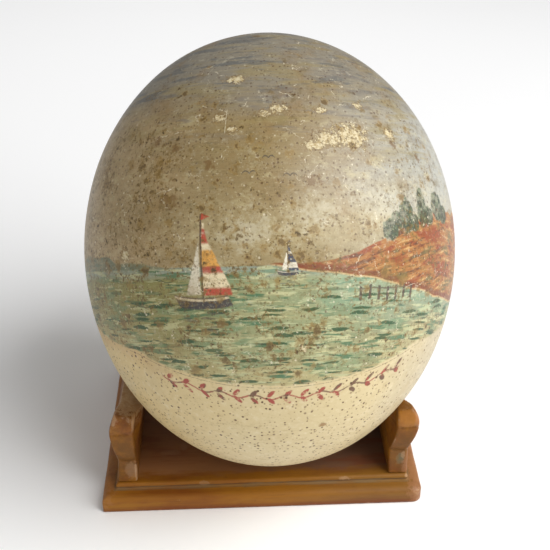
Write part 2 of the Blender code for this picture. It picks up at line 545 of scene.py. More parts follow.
class Shell(Sheet):
    """The egg's material, with places on the shell."""

    def __init__(self):
        super().__init__("painted_shell")
        middle = egg_middle() / MM
        turn = {"Vector": self.spot, "Center": middle, "Axis": (1, 0, 0), "Angle": EGG_LEAN}
        self.spot = self.vector("SUBTRACT", self.add("ShaderNodeVectorRotate", turn), middle)
        x, y, self.up = self.split(self.spot)
        self.side = x  # grows to the right as across does, with no seam at the back
        self.across = self.math("ARCTAN2", x, y * -1) * (EGG_WIDTH / 2 / MM)
        self.flat = self.join(self.across, self.up)
        self.hand = self.noise(6.5, 3, 0.6) * 2.2  # how far a hand-painted edge strays
        self.grit = self.noise(0.9, 3, 0.7)  # fine unevenness of paint and wear
        self.hairs = self.streaks(9, 0.34)  # what the hairs of a brush leave
        # rim: how far inside the picture's rim a place is. It is lower at the sides and looser behind.
        loose = self.noise(12, 4, 0.6) * y.fade(-5, 40)
        lower = self.math("ABSOLUTE", x).fade(42, 66)
        inside = (self.up * RIM_TILT - y + RIM_SHIFT) / math.hypot(RIM_TILT, 1)
        self.rim = inside + loose * 16 + lower * 11

    def streaks(self, length, height, detail=3.0):
        """A pattern drawn out level, as brushed paint is."""
        return self.noise((length, length, height), detail, 0.6)

    def bump_of(self, across, up, half_width, half_height):
        """1 in the middle of an oval place, 0 at its edge, less outside."""
        sideways = (self.across - across) / half_width
        upwards = (self.up - up) / half_height
        return 1 - self.math("SQRT", sideways * sideways + upwards * upwards)

    def worst_of(self, places, outside):
        """1 in the middle of the listed places, and no less than outside away from them."""
        return self.most(outside, *[self.bump_of(*place) for place in places])

    def dabs(self, length, height, share, thickness):
        """Level brush strokes, tapered and a little bowed, in rows height apart. share of them are there, and
        thickness is half a stroke's own, as a share of height."""
        place = self.shifted(self.join(self.across, self.up + self.hand * 0.5), (length, height, 1))
        cell = self.add("ShaderNodeTexVoronoi", {"Vector": place, "Scale": 1.0}, voronoi_dimensions="2D")
        random = self.split(cell.other("Color"))
        sideways, upwards, _ = self.split(self.vector("SUBTRACT", place, cell.other("Position")))
        bowed = upwards + sideways * sideways * (random[1] - 0.3) * 1.4
        flat = bowed / (random[2] * thickness + 0.5 * thickness)
        away = self.math("SQRT", sideways * sideways * 6 + flat * flat) + self.grit * 0.9
        return away.fade(1.1, 0.7) * random[0].fade(1 - share, 1 - share + 0.04)


def bare_shell(egg):
    """Cream shell, mottled and smudged, with painted light across it: warmer and yellower at the left, a
    painted warm shade, and greyer and darker towards the right, painted to even out the stronger light there.
    """
    slow = egg.noise(22, 3)
    side = egg.side + slow * 60
    mottle = egg.noise(3, 5, 0.7)
    smudges = mottle * 0.7 + egg.grit * 0.6
    under_rim = egg.side.fade(-24, -52) * 0.55
    lower_end = egg.up.fade(-50, -59) * 0.4
    return egg.coats(
        (207, 182, 126),
        # painted light: yellower at the left, greyer and darker towards the right
        ((202, 184, 140), side, -53, -5, 1),
        ((182, 169, 138), side, 19, 60, 1),
        ((188, 166, 118), slow, 0, 0.2, 0.5),
        ((219, 205, 170), mottle, 0, 0.22, 0.5),
        ((178, 156, 110), mottle, -0.05, -0.22, 0.5),
        ((164, 138, 92), smudges, -0.07, -0.17, 0.35),
        ((186, 150, 96), egg.rim + slow * 12, -7, -1, under_rim),
        ((160, 134, 90), egg.streaks(9, 0.5), 0.06, 0.24, lower_end),
    )


def sky(egg):
    """A dull evening sky: taupe, paler to the right, with long grey and ochre strokes higher up."""
    drift = egg.noise((34, 34, 9), 3)
    side = egg.side + drift * 55
    height = egg.up + drift * 22
    clouds = egg.noise((7, 7, 4), 5, 0.66)
    strokes = egg.streaks(17, 2.3) + egg.hairs * 0.3
    low_strokes = egg.streaks(22, 3.6, 2) + egg.hairs * 0.2
    haze = (egg.up + drift * 30).band(HORIZON, HORIZON + 17, 9) * 0.45
    return egg.coats(
        (172, 148, 108),
        ((139, 119, 80), side, -58, -19, 1),
        ((167, 167, 158), side, 4, 54, 1),
        ((190, 178, 136), clouds, 0.02, 0.2, 0.5),
        ((108, 94, 58), clouds, -0.03, -0.2, 0.5),
        ((132, 124, 108), height, 36, 54, 1),
        ((142, 125, 78), low_strokes, 0.02, 0.16, height.fade(18, 34) * 0.55),
        ((112, 106, 100), low_strokes, -0.06, -0.18, height.fade(26, 40) * 0.6),
        ((86, 89, 90), strokes, 0.02, 0.12, height.fade(42, 50) * 0.7),
        ((178, 160, 114), egg.hairs, 0.02, 0.24, 0.2),
        ((100, 88, 62), egg.hairs, -0.02, -0.24, 0.2),
        ((182, 167, 124), egg.side, -47, -5, haze),
    )


def far_hills(egg, look):
    """Low blue-green hills on the horizon at the left."""
    rise = egg.across.fade(FAR_HILLS_END, FAR_HILLS_END - 16)
    ridge = HORIZON + rise * (3.6 + egg.noise((13, 40, 1), place=egg.flat) * 9)
    share = (egg.up - ridge + egg.hand * 0.3).fade(0.35, -0.35)
    share = share * (egg.up + egg.hand * 0.2).fade(HORIZON - 0.6, HORIZON)
    tone = egg.noise((9, 1.6, 1), place=egg.flat)
    paint = egg.coats((104, 112, 88), ((140, 132, 98), tone, -0.15, 0.2, 1))
    return egg.coats(look, (paint, egg.across, FAR_HILLS_END + 1, FAR_HILLS_END - 1, share))


def sea(egg):
    """Grey-green water in level strokes, bluer towards the horizon and paler towards the picture's rim."""
    tone = egg.streaks(17, 2.4)
    side = egg.side + tone * 36
    water = egg.coats(
        (136, 144, 104),
        ((157, 154, 110), tone, -0.16, 0.2, 1),
        ((116, 128, 106), side, 10, 52, 0.75),
        ((94, 106, 84), side, 42, 64, 0.5),
        ((132, 122, 60), side, 0, -48, 0.75),
        ((180, 164, 114), egg.rim + tone * 14, 15, 1, 0.7),
        ((142, 158, 152), egg.up + tone * 4, HORIZON - 4.5, HORIZON - 1, 0.7),
        ((180, 178, 134), egg.hairs, 0.02, 0.24, 0.35),
        ((96, 112, 78), egg.hairs, -0.02, -0.24, 0.25),
    )
    for length, height, rarity, tint, strength in SEA_STROKES:
        stroke = egg.streaks(length, height, 2) + egg.hairs * 0.25
        water = egg.coats(water, (tint, stroke, rarity, rarity + 0.06, strength))
    right = egg.side.fade(0, 22) * 0.36
    near_dabs = egg.dabs(9.5, 2.8, 0.55, 0.18) * 0.92
    return egg.coats(
        water,
        ((124, 112, 44), side, 5, -50, 0.24),
        ((156, 178, 152), egg.up, HORIZON - 22, HORIZON - 6, right),
        ((34, 72, 38), egg.up, HORIZON - 4, HORIZON - 10, near_dabs),
    )


def sand(egg, crest, shore):
    """Rust and ochre strokes along the slope, dry tufts, and a pale edge under a dark line at the shore."""
    follow = egg.join(egg.across, egg.up - crest * 0.6 + egg.hand * 0.6)
    strokes = egg.noise((8, 1.2, 1), 4, 0.65, place=follow)
    patches = egg.noise((11, 4, 1), 4, 0.6, place=follow)
    tufts = egg.noise((1.2, 2.2, 1), 3, 0.7, place=egg.flat)
    tufts = tufts - patches.band(-0.05, 0.05, 0.1) * 0.04
    low = egg.up - shore + egg.hand * 0.5
    return egg.coats(
        (158, 104, 50),
        ((180, 138, 84), strokes, 0, 0.16, 1),
        ((138, 66, 28), patches, -0.04, 0.08, 1),
        ((86, 48, 26), strokes, -0.03, -0.14, 0.85),
        ((104, 92, 50), patches, -0.06, -0.16, 0.85),
        ((200, 156, 100), strokes - patches * 0.4, 0.1, 0.2, 0.65),
        ((62, 66, 34), tufts, 0.12, 0.2, 0.75),
        ((112, 58, 34), low, 0, 1.2, low.fade(2.8, 1.6) * 0.75),
        ((196, 172, 124), low, 0.7, 0.3, 0.8),
    )


def dune(egg, look):
    """A bare headland that rises to the right."""
    swell = egg.noise((15, 60, 1), place=egg.flat)
    rise = egg.across.fade(DUNE_START, DUNE_TOP)
    crest = HORIZON + 0.6 + rise * 15.5 + swell * 9 * rise
    shore = HORIZON - 0.9 - egg.across.fade(DUNE_START - 14, 92) * 13 + swell * 3
    edge = egg.hand * 0.6
    land = (egg.up - crest + edge).fade(0.3, -0.3) * (egg.up - shore + edge).fade(-0.3, 0.3)
    paint = sand(egg, crest, shore)
    return egg.coats(look, (paint, egg.across, DUNE_START - 12, DUNE_START - 9, land))


def bushes(egg, look):
    """Dark leafy clumps on the dune."""
    leaves = egg.noise((1.5, 2.2, 1), 4, 0.7, place=egg.flat)
    clumps = egg.most(*[egg.bump_of(*bush) for bush in BUSHES]) + leaves * 0.9
    green = egg.coats(
        (42, 56, 42),
        ((84, 104, 70), leaves, -0.05, 0.2, 1),
        ((128, 122, 76), leaves + egg.grit * 0.4, 0.16, 0.3, 0.7),
    )
    return egg.coats(look, (green, clumps, -0.04, 0.14, 0.94))


def boat(egg, look, place, size, sails, hull_paint):
    """A small sailing boat: main sail, jib, mast, flag and hull, with its reflection in strokes."""
    across = (egg.across - place[0] + (egg.hand * 0.32 + egg.grit * 0.5)) / size
    above = (egg.up - place[1] + egg.hand * 0.3 - egg.grit * 0.4) / size
    brushed = egg.noise((1.5, 1.5, 0.7), 4, 0.65)
    cover = brushed.fade(-0.24, 0.02, 0.6, 0.97)
    stripes = egg.math("PINGPONG", above - 2.6 + egg.grit * 1.2, 4.4) / 4.4
    main_paint = egg.coats(
        sails[0],
        (sails[1], stripes, 0.38, 0.62, 1),
        (sails[2], above, 10.8, 11.6, above.fade(16.4, 15.6)),
        ((120, 84, 54), brushed, 0.03, 0.26, 0.5),
    )
    leech = 9.5 - above.fade(0, 25) * 8.6
    main = above.band(2.6, 24, 0.3) * across.fade(0.2, 0.5) * cover
    luff = above * 0.3 - 6.2
    jib = above.band(2.9, 19, 0.3) * across.fade(-0.5, -0.8) * cover
    jib_paint = egg.coats(sails[3], ((150, 140, 112), brushed, 0, 0.2, 0.6))
    mast = across.band(-0.3, 0.3, 0.16) * above.band(0.5, 26.5, 0.3)
    tip = across + egg.math("ABSOLUTE", above - 25.9) * 2.6
    look = egg.coats(
        look,
        (main_paint, across - leech, 0.35, -0.35, main),
        (jib_paint, across - luff, -0.3, 0.3, jib),
    )
    look = egg.layer(look, (70, 46, 32), mast * cover * 0.9)
    look = egg.coats(look, (sails[0], tip, 3.2, 2.7, across.fade(0.1, 0.3) * cover))
    sheer = above - across * across * 0.012
    hull = sheer.band(-1.6, 1.9, 0.3) * (across + above * 0.5).band(-8.4, 9, 0.4)
    paint = egg.coats(
        hull_paint,
        (sails[1], sheer, 0.6, 1, sheer.fade(1.7, 1.3) * 0.8),
        ((104, 92, 78), brushed, 0.04, 0.26, 0.55),
    )
    look = egg.layer(look, paint, hull * cover)
    ripple = egg.dabs(7 * size, 1.5 * size, 0.8, 0.3) * above.band(-8.5, -1.6, 0.6)
    return egg.layer(look, hull_paint, ripple * across.band(-7, 7, 1.5) * 0.55)


def gulls(egg, look):
    """Each is two bowed strokes that taper to the wings' tips."""
    for across, above, half_span in GULLS:
        sideways = egg.math("ABSOLUTE", egg.across - across)
        bowed = sideways / half_span - 0.45
        away = egg.up - above + bowed * bowed * (half_span * 1.5) + egg.grit * 0.4
        thin = egg.math("ABSOLUTE", away) + sideways * (0.1 / half_span)
        wing = sideways.fade(half_span, half_span - 0.4) * 0.85
        look = egg.coats(look, ((74, 66, 56), thin, 0.36, 0.14, wing))
    return look


def jetty(egg, look):
    """A row of old posts standing in the water in front of the dune."""
    first, last = JETTY
    step = egg.math("PINGPONG", egg.across - first, JETTY_STEP / 2)
    foot = egg.noise((JETTY_STEP, 50, 1), place=egg.flat) * 3 - 17.0
    posts = step.fade(0.62, 0.38) * egg.up.band(foot, foot + 4.4, 0.25)
    rail = (egg.up - foot * 0.3).band(-8.6, -8.1, 0.15) * 0.8
    share = egg.most(posts, rail) * egg.across.band(first - 0.5, last, 0.3)
    return egg.layer(look, (72, 58, 50), share * 0.9)


def border(egg, look):
    """A worn red-brown garland along the picture's lower edge: a waving stem with slanted leaves."""
    line = egg.rim + BORDER_DROP + egg.hand * 0.35
    wave = egg.math("SINE", egg.across * (math.tau / BORDER_WAVE))
    stem = egg.math("ABSOLUTE", line - wave * 0.8)
    share = (stem + egg.grit * 0.4).fade(0.42, 0.22) * 0.85
    along = egg.math("FLOORED_MODULO", egg.across, BORDER_WAVE / 2) - BORDER_WAVE / 4
    for side in (1, -1):
        beside = line - side * 1.3
        slanted = along * 0.8 + beside * (0.6 * side)
        upright = beside * 0.8 - along * (0.6 * side)
        leaf = egg.math("SQRT", slanted * slanted / 3.8 + upright * upright / 0.7)
        share = egg.most(share, (leaf + egg.grit * 0.8).fade(1.1, 0.75))
    worn = egg.noise(3, 4, 0.7).fade(-0.17, -0.02, 0.15, 1)
    paint = egg.coats((150, 38, 32), ((88, 50, 32), egg.noise(5), -0.02, 0.1, 1))
    return egg.layer(look, paint, share * egg.across.band(*BORDER_ENDS, 0.5) * worn * 0.92)


def picture(egg, look):
    """The whole picture, with a ragged oval edge beyond which the shell stays bare."""
    water_line = egg.up + egg.hand * 0.4
    art = egg.coats(sea(egg), (sky(egg), water_line, HORIZON - 0.3, HORIZON + 0.3, 1))
    for motif in (far_hills, dune, bushes, jetty):
        art = motif(egg, art)
    for vessel in (BIG_BOAT, SMALL_BOAT):
        art = boat(egg, art, *vessel)
    art = gulls(egg, art)
    edge = egg.rim + egg.streaks(5, 1.2) * 3
    pencil = (egg.rim + 0.9).band(-0.12, 0.12, 0.1) * egg.across.band(-60, 60, 4) * 0.7
    look = egg.coats(
        look,
        (art, edge, -0.5, 0.7, 1),
        ((96, 84, 60), egg.grit, -0.12, 0.05, pencil),
    )
    return border(egg, look)


def grime(egg, look, cloudy, painted):
    """Uneven brown varnish, with paler rubbed paint, and dirt and stains in small uneven patches."""
    mottle = egg.noise(2.3, 5, 0.72)
    rubbed = mottle + egg.worst_of(RUBBED, -0.2) * 0.2 - cloudy * 0.3
    crumbs = egg.noise(1, 4, 0.75)
    calmer = painted * egg.up.fade(18, 42, 0.45, 0.2)  # the upper sky is worn less
    soaked = egg.noise(1.7, 5, 0.68) * 1.5
    soaked = soaked + egg.worst_of(STAINS, -0.6) * 0.5 + cloudy * 0.5
    return egg.coats(
        look,
        ((136, 102, 46), cloudy, 0, 0.28, painted * 0.45),
        ((198, 191, 166), rubbed, 0, 0.26, painted * 0.45),
        ((100, 82, 42), mottle - cloudy * 0.35, -0.04, -0.2, painted * 0.5),
        ((210, 200, 164), crumbs, 0.08, 0.2, calmer),
        ((104, 84, 42), crumbs, -0.07, -0.2, calmer),
        ((108, 76, 32), soaked, 0.14, 0.42, painted * 0.65),
    )


def lost_paint(egg, look, painted):
    """Paint that has crumbled off the shell, with a brown edge of dirt. The second result is where."""
    crumbly = egg.noise(1.5, 6, 0.8)
    worn = crumbly * 1.15 + egg.worst_of(LOST_PAINT, -0.4) * 0.36 + egg.noise(14) * 0.2
    lost = worn.fade(0.14, 0.2) * painted
    inside = egg.noise(1, 3, 0.7)
    bare = egg.coats((216, 203, 166), ((172, 150, 104), inside, -0.08, 0.14, 1))
    look = egg.coats(look, ((120, 90, 42), worn, 0.04, 0.15, painted * 0.6))
    return egg.layer(look, bare, lost * 0.84), lost


def scratches(egg):
    """Fine pale specks and short pale lines: parts of long lines in a few directions."""
    lines = []
    for angle, apart in SCRATCHES:
        along = egg.side * math.cos(angle) + egg.up * math.sin(angle)
        wander = along + egg.noise(8, 4, 0.7) * 9
        here = egg.noise(5).fade(0.07, 0.13)
        lines.append(egg.math("PINGPONG", wander, apart / 2).fade(0.16, 0.04) * here)
    across, low, high = LONG_SCRATCH
    straight = (egg.across - across + egg.hand * 0.06).band(-0.1, 0.1, 0.08)
    lines.append(straight * egg.up.band(low, high, 0.4))
    broken = egg.grit.fade(-0.12, 0.04)
    away, random = egg.cells(egg.spot, 1.8)
    small = (away + egg.grit * 0.5 + random[0] * 0.12).fade(0.26, 0.14)
    specks = small * random[1].fade(0.5, 1) * egg.up.fade(18, 44, 1, 0.4)
    return egg.most(specks, egg.most(*lines) * broken)


def foxing(egg, look, painted):
    """Brown mould, crowded in patches: soft rusty blots, spots with paler rims and fine dark specks."""
    crowd = egg.noise(9, 3) - 0.05
    crowd = crowd + egg.up.band(-36, 2, 12) * 0.11 + egg.side.fade(30, -30) * 0.05
    left_sky = egg.side.fade(-16, -46) * egg.up.fade(HORIZON, HORIZON + 8)
    crowd = crowd + left_sky * 0.1 - egg.up.fade(32, 50) * 0.13
    blots = egg.noise(1.2, 3, 0.6) + crowd * 0.5
    look = egg.coats(
        look,
        ((130, 104, 50), blots, 0.1, 0.2, painted * 0.5),
        ((88, 68, 30), blots, 0.18, 0.26, painted * 0.75),
    )
    uneven = egg.warped(1.5, 3.4)
    for size, half, rarity, rim, heart, strength in MOULD:
        away, random = egg.cells(uneven, size)
        outside = away + egg.grit * 0.5 - half * (random[0] * 0.8 + 0.45)
        there = (random[1] - crowd * 2.8).fade(rarity, rarity - 0.08) * painted * strength
        dark = (random[2] + egg.grit).fade(0.1, 0.8, 0.2, 1)
        look = egg.coats(
            look,
            (rim, outside, 0.12, -0.12, there * 0.75),
            (heart, outside, 0, -0.2, there * dark),
        )
    return look


def pores(egg, look, painted):
    """Small dark pits all over the shell, which the paint half fills. The second result is where."""
    away, random = egg.cells(egg.spot, 1.2)
    gathered = egg.noise(9) * 1.4
    outside = away + egg.grit * 0.3 - random[0] * random[0] * 0.2 - 0.17
    there = (random[1] - gathered).fade(0.68, 0.58)
    share = outside.fade(0.06, -0.06) * there
    strength = random[2].fade(0, 1, 0.45, 1) * (1 - painted * 0.4)
    halo = there * strength * (1 - painted) * 0.4
    look = egg.coats(look, ((160, 122, 66), outside, 0.2, -0.02, halo))
    return egg.layer(look, (72, 40, 8), share * strength), share


def ageing(egg, look):
    """All that time has done to the shell and the picture, and where paint is lost and pits are."""
    painted = egg.rim.fade(-1, 1)
    cloudy = egg.noise(11, 5, 0.65)
    look = grime(egg, look, cloudy, painted)
    look, lost = lost_paint(egg, look, painted)
    look = egg.layer(look, (228, 217, 188), scratches(egg) * (painted * 0.35 + 0.3))
    look = foxing(egg, look, painted)
    mark = egg.bump_of(*BROWN_MARK) + egg.grit * 1.4
    look = egg.coats(look, ((142, 106, 56), mark, 0.1, 0.5, 0.85))
    look, pits = pores(egg, look, painted)
    return look, lost, pits


def shell_material():
    egg = Shell()
    look, lost, pits = ageing(egg, picture(egg, bare_shell(egg)))
    roughness = lost * 0.2 + egg.grit * 0.15 + 0.42
    height = egg.grit * 0.5 + egg.hairs * 0.4 - lost - pits * 0.8
    return egg.finish(look, roughness, height, SHELL_BUMP)


# ---- base


def corner_radius(x_side, y_side, inset):
    worn = x_side > 0 and y_side < 0
    radius = WORN_CORNER_RADIUS if worn else CORNER_RADIUS
    return max(radius - inset / 2, LEAST_RADIUS)


def base_outline(inset):
    """The base's four corners in plan, moved in by inset, anticlockwise from the front right one."""
    half = (BASE_WIDTH / 2 - inset, BASE_DEPTH / 2 - inset)
    corners = []
    for x_side, y_side, start in ((1, -1, -90), (1, 1, 0), (-1, 1, 90), (-1, -1, 180)):
        radius = corner_radius(x_side, y_side, inset)
        centre = (x_side * (half[0] - radius), y_side * (half[1] - radius))
        corners.append(arc(centre, (radius, radius), start, start + 90))
    return corners


def base_profile():
    """(inset from the outline, height) from the underside up to the flat top."""
    side = [(0.0, blend(FOOT_CHAMFER, SLAB_EDGE_START, i / SIDE_ROWS)) for i in range(SIDE_ROWS)]
    slab = arc((SLAB_EDGE_WIDTH, SLAB_EDGE_START), (SLAB_EDGE_WIDTH, SLAB_EDGE_HEIGHT), 180, 90)
    field_foot = (FIELD_INSET, FIELD_BOTTOM)
    ledge = between((SLAB_EDGE_WIDTH, slab[-1][1]), field_foot, LEDGE_ROWS) + [field_foot]
    bead_centre = (FIELD_INSET + BEAD_RADIUS, BASE_HEIGHT - BEAD_RADIUS)
    bead = arc(bead_centre, (BEAD_RADIUS, BEAD_RADIUS), 180, 90)
    field = [(bead_centre[0] + ring * MM, BASE_HEIGHT) for ring in FIELD_RINGS]
    return [(FOOT_CHAMFER, 0.0)] + side + slab + ledge + bead + field


def ring_of_points(inset, steps):
    """One closed ring, with the same number of points on each side whatever the inset."""
    corners = base_outline(inset)
    points = []
    for i, corner in enumerate(corners):
        next_corner = corners[(i + 1) % len(corners)]
        points += corner + between(corner[-1], next_corner[0], steps[i])
    return points


def make_base():
    bm = bmesh.new()
    steps = [round(side / SIDE_STEP) for side in (BASE_DEPTH, BASE_WIDTH, BASE_DEPTH, BASE_WIDTH)]
    rings = []
    for inset, height in base_profile():
        rings.append([bm.verts.new((x, y, height)) for x, y in ring_of_points(inset, steps)])
    for low, high in zip(rings, rings[1:]):
        bridge(bm, low, high)
    bm.faces.new(rings[0])
    bm.faces.new(rings[-1])
    base = add_object("moulded_base", bm)
    wear_wood(base, BASE_ROUNDS, BASE_SEED)
    wood = wood_material("base_wood", True, base_stain_and_shade, WOOD_PATCHES["base"], BASE_CREASES)
    base.data.materials.append(wood)
    return base


# ---- brackets


def sides_at_end(form, height):
    """Inner and outer side of the carved end at this height."""
    neck, crease, top = form["neck_height"], form["crease_height"], form["top_height"]
    if height <= neck:
        low, high = form["foot"], form["neck"]
        amount = height / neck
    elif height <= crease:
        low, high = form["neck"], form["belly"]
        amount = ease((height - neck) / (crease - neck))
    else:
        low, high = form["belly"], form["top"]
        amount = ((height - crease) / (top - crease)) ** form["shoulder"]
    return blend(low[0], high[0], amount), blend(low[1], high[1], amount)


def end_profile(form):
    """(distance from the middle, height) up the end: a foot, a lower lobe, a crease and an upper lobe."""
    neck, crease, top = form["neck_height"], form["crease_height"], form["top_height"]
    front = END_FROM_MIDDLE + LOBE_PROUD
    lower_middle = blend(neck, crease, LOWER_LOBE_MIDDLE)
    foot = [(END_FROM_MIDDLE, blend(0.0, neck - CREASE_LIP, i / 8)) for i in range(9)]
    lower = arc((END_FROM_MIDDLE, lower_middle), (LOBE_PROUD, lower_middle - neck), -80, 0)
    lower += [(front - CREASE_DEPTH / 4, crease - CREASE_LIP)]
    upper = [(front - CREASE_DEPTH, crease), (front - CREASE_DEPTH / 2, crease + CREASE_LIP)]
    upper += arc((front - TOP_ROUNDING, top - 2 * TOP_ROUNDING), (TOP_ROUNDING, 2 * TOP_ROUNDING), 0, 80)
    return foot + lower + upper


def stations(end):
    """Where a level's points are from front to back, and how far its sides are drawn in there."""
    edge = arc((end - EDGE_ROUNDING, 0.0), (EDGE_ROUNDING, EDGE_ROUNDING), 0, 90, steps=4)
    half = [(y, EDGE_ROUNDING - rise) for y, rise in edge]
    lobe_end = end - LOBE_LENGTH
    half += [(blend(end - EDGE_ROUNDING, lobe_end, i / LOBE_ROWS), 0.0) for i in range(1, LOBE_ROWS + 1)]
    half += [(lobe_end * (1 - i / BOARD_ROWS), 0.0) for i in range(1, BOARD_ROWS)]
    front = [(-y, inset) for y, inset in half]
    return front + [(0.0, 0.0)] + half[::-1]


def level_points(form, end, height):
    """Outer and inner points of one level of the bracket, front to back."""
    inner_end, outer_end = sides_at_end(form, height)
    share = height / form["top_height"]
    board_side = blend(BOARD_SIDE, BOARD_TOP_SIDE, ease_over(ROUNDING_SPAN, share))
    lean = INNER_LEAN * ease_over(LEAN_SPAN, share)
    slope = TOP_SLOPE * ease_over(SLOPE_SPAN, share)
    outer, inner = [], []
    for y, inset in stations(end):
        carved = ease((abs(y) - (end - LOBE_LENGTH)) / (0.7 * LOBE_LENGTH))
        sag = SAG * (1 - (y / end) ** 2) * ease_over(SAG_SPAN, share)
        outer.append((blend(board_side, outer_end, carved) - inset, y, height - sag))
        inner.append((inner_end - lean * (1 - carved) + inset, y, height - sag - slope))
    return outer, inner


def bracket_shape(form, towards):
    bm = bmesh.new()
    rows = []
    for end, height in end_profile(form):
        row = []
        for points in level_points(form, end, height):
            row.append([bm.verts.new((towards * x, y, z + BASE_HEIGHT + GLUE_GAP)) for x, y, z in points])
        rows.append(row)
    for (outer, inner), (outer_above, inner_above) in zip(rows, rows[1:]):
        bridge(bm, outer + inner[::-1], outer_above + inner_above[::-1])
    for outer, inner in (rows[0], rows[-1]):
        for i in range(len(outer) - 1):
            bm.faces.new((outer[i], outer[i + 1], inner[i + 1], inner[i]))
    return bm


def carve(obj, seat):
    """Hollows the seat, meshes the whole form evenly and rubs its edges soft."""
    hollow = obj.modifiers.new("seat", "BOOLEAN")
    hollow.operation = "DIFFERENCE"
    hollow.object = seat
    even = obj.modifiers.new("even", "REMESH")
    even.mode = "VOXEL"
    even.voxel_size = CARVING_VOXEL
    rub = obj.modifiers.new("rub", "SMOOTH")
    rub.iterations = CARVING_RUBS
    bpy.context.view_layer.update()
    shape = bpy.data.meshes.new_from_object(obj.evaluated_get(bpy.context.evaluated_depsgraph_get()))
    obj.modifiers.clear()
    obj.data = shape
    shape.shade_smooth()


def make_bracket(side):
    towards = 1 if side == "right" else -1
    bracket = add_object("carved_" + side + "_bracket", bracket_shape(BRACKETS[side], towards))
    seat = add_object("seat_cutter", egg_shape(SEAT_MERIDIANS, SEAT_PARALLELS, grow=SEAT_GAP))
    set_egg(seat)
    carve(bracket, seat)
    bpy.data.objects.remove(seat)
    wear_wood(bracket, BRACKET_ROUNDS, BRACKET_SEED * towards)
    wood = wood_material(side + "_bracket_wood", False, bracket_stain, WOOD_PATCHES[side], BRACKET_CREASES)
    bracket.data.materials.append(wood)
    return bracket


# ---- wood


# Places on the wood that are worn pale, greyed, dirty or of another tone, and places with a painted sheen on
# the base's ends and the brackets' feet and tops: (middle, half sizes), both x, y, z in millimetres
# a greyish tone in the base's creases
CREASE_GREY = (116, 98, 70)
RUBBED_PALE = (186, 152, 118)
# painted sheen: a pink sheen on sides and ends that face the light
PINK_SHEEN = (168, 118, 84)
DULL_BROWN = (96, 62, 16)
OLD_GLUE = (96, 100, 78)
# painted shade: the brackets' creases are painted darker
CREASE_SHADE = (62, 36, 16)
# painted sheen: a grey-pink sheen on the right bracket's top
GREY_PINK_SHEEN = (142, 118, 88)
# painted light: a pale sheen on the left bracket's top, painted over the shade that the egg casts there
PALE_TOP_SHEEN = (184, 156, 124)
BRIGHT_ORANGE = (178, 118, 50)
# the base's creases are painted greyish
BASE_CREASES = (0.7, CREASE_GREY, 0.6)
# painted shade in the brackets' creases
BRACKET_CREASES = (0.24, CREASE_SHADE, 0.28)
WOOD_PATCHES = {
    "base": (
        # painted sheen on the slab's left and right ends
        ((-57, 4, 5), (4.5, 60, 7), PINK_SHEEN, 0.4),
        ((57, -10, 5), (5, 60, 7), PINK_SHEEN, 0.6),
        ((-34, -22, 9), (4.5, 1.6, 2), RUBBED_PALE, 0.25),
        ((-29, -19, 9), (1.4, 2.6, 2), RUBBED_PALE, 0.25),
        ((53.2, -38.2, 9), (1.4, 1.4, 1.6), RUBBED_PALE, 0.8),
        ((30, -38.6, 8.4), (3, 1.2, 1.2), RUBBED_PALE, 0.5),
        ((-21, -38.6, 8.4), (2.4, 1.2, 1.2), RUBBED_PALE, 0.4),
    ),
    "left": (
        ((-49, -38, 21), (8, 4, 12), DULL_BROWN, 0.75),
        ((-47.2, -37.4, 15), (2.2, 3, 4.4), RUBBED_PALE, 0.3),
        ((-45.3, -37.4, 13.5), (0.7, 2, 4.8), RUBBED_PALE, 0.8),
        # painted light: the top painted paler over the egg's shade
        ((-47, -22, 40), (9, 15, 8), PALE_TOP_SHEEN, 1),
        ((-51.6, -36, 39), (1, 8, 3), RUBBED_PALE, 0.7),
        ((-44.6, -37, 36.5), (1, 3, 4), RUBBED_PALE, 0.7),
    ),
    "right": (
        ((51, -38, 20), (6, 4, 12), DULL_BROWN, 0.8),
        ((50, -37.4, 16.4), (1.5, 2, 2.8), OLD_GLUE, 0.7),
        ((50.8, -37.4, 18.4), (0.8, 2, 2.2), RUBBED_PALE, 0.4),
        # painted sheen on the right foot's outer side
        ((52.5, -37.4, 13), (2, 3, 6), PINK_SHEEN, 0.5),
        ((51, -39, 36), (5, 3, 4), BRIGHT_ORANGE, 0.6),
        ((52, -38, 26), (5, 4, 5.5), DULL_BROWN, 0.5),
        # painted sheen at the right of the bracket's top
        ((55, -38, 36), (1.4, 6, 5), PINK_SHEEN, 0.6),
        # painted sheen on the bracket's top
        ((49, -32, 40), (5, 6, 2.2), GREY_PINK_SHEEN, 0.6),
    ),
}


class Wood(Sheet):
    """Varnished wood. Its grain runs along X, or along Y where level is False."""

    def __init__(self, name, level):
        super().__init__(name)
        self.level = level
        self.blotch = self.noise(2.6, 4, 0.65)
        self.grit = self.noise(0.8, 3, 0.7)

    def grain(self, length, width, detail=3.0):
        """A pattern drawn out along the wood."""
        sizes = (length, width, width) if self.level else (width, length, width)
        return self.noise(sizes, detail, 0.6)

    def away_from(self, middle, halves):
        """How far a place is from the middle of a listed one, 1 at its ragged edge."""
        shared = self.vector("DIVIDE", self.vector("SUBTRACT", self.spot, middle), halves)
        return self.vector("LENGTH", shared).other("Value") + self.blotch * 1.8 + self.grit


def wear_wood(obj, rounds, seed):
    """Dents the surface and rubs its edges a little, and marks edges and creases for the material."""
    mesh = obj.data
    mesh.shade_smooth()
    stand_out = roundness(mesh, rounds) / EDGE_FULL
    edge = np.clip(stand_out, 0, 1)
    places = vertex_vectors(mesh, "co")
    dents = lumps(places, DENT_SPACING, seed) * DENT_DEPTH
    rubbed = edge * np.clip(lumps(places, RUB_SPACING, seed + 1) + 0.2, 0, 1)
    resting = places[:, 2] < RESTING_HEIGHT
    move_out(mesh, np.where(resting, 0, dents - rubbed * RUB_DEPTH))
    store(mesh, "edge", edge)
    store(mesh, "crease", np.clip(-stand_out, 0, 1))


